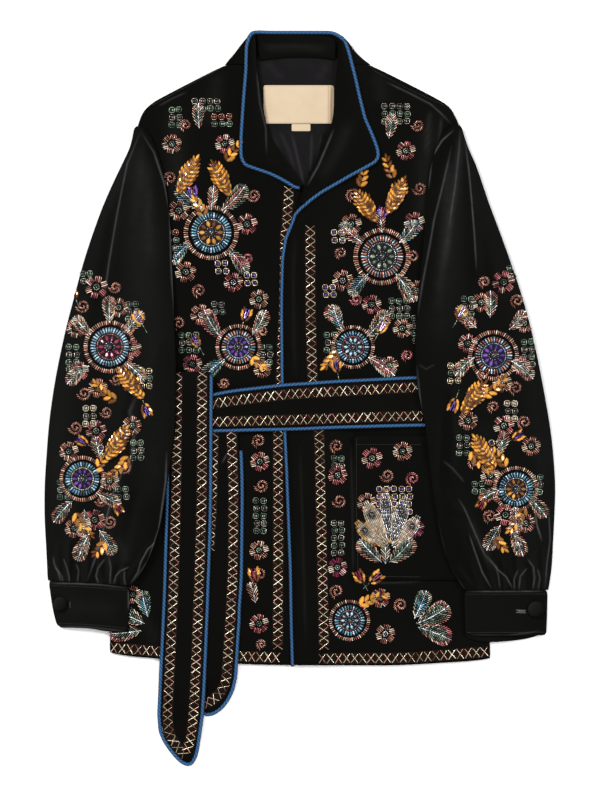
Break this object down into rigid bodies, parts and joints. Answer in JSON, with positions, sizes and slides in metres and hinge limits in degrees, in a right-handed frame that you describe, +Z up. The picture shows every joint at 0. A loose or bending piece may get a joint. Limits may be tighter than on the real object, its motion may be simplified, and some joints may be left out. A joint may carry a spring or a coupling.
{
  "type": "belted velvet jacket",
  "caption": "Black velvet jacket with lapels, patch pocket, gathered sleeves, blue corded edges, beaded trim and a tie belt, laid flat with its front up.",
  "frame": {"origin": "centre of the underside of the laid jacket's bounding box", "axes": "+Z up from the surface it lies on, +Y towards the collar, +X towards the wearer's left sleeve"},
  "size_m": [0.599, 0.861, 0.0282],
  "materials": {
    "velvet": "matte",
    "satin": "satin",
    "label": "matte",
    "cord": "matte",
    "amber_beads": "gloss",
    "teal_beads": "gloss"
  },
  "bodies": {
    "root": {"back": "velvet", "belt_back": "velvet", "belt_end_long": "velvet", "belt_end_short": "velvet", "belt_waist": "velvet", "collar_back": "velvet", "collar_side_left": "velvet", "collar_side_right": "velvet", "collar_stand": "velvet", "cuff_button_left": "velvet", "cuff_button_right": "velvet", "cuff_under_left": "velvet", "cuff_under_right": "velvet", "cuff_upper_left": "velvet", "cuff_upper_right": "velvet", "front_left": "velvet", "front_right": "velvet", "lapel_left": "velvet", "lapel_right": "velvet", "leaf_01": "amber_beads", "leaf_02": "amber_beads", "leaf_03": "amber_beads", "leaf_04": "amber_beads", "leaf_05": "amber_beads", "leaf_06": "amber_beads", "leaf_07": "amber_beads", "leaf_08": "amber_beads", "lining_back": "satin", "medallion_01": "teal_beads", "medallion_02": "teal_beads", "medallion_03": "teal_beads", "medallion_04": "teal_beads", "medallion_05": "teal_beads", "medallion_06": "teal_beads", "medallion_07": "teal_beads", "medallion_08": "teal_beads", "medallion_09": "teal_beads", "neck_label": "label", "piping_belt_lower": "cord", "piping_belt_upper": "cord", "piping_collar": "cord", "piping_end_long": "cord", "piping_end_short": "cord", "piping_front": "cord", "piping_lapel_left": "cord", "piping_lapel_right": "cord", "pocket_right": "velvet", "size_tab": "label", "sleeve_under_left": "velvet", "sleeve_under_right": "velvet", "sleeve_upper_left": "velvet", "sleeve_upper_right": "velvet"}
  },
  "joints": []
}
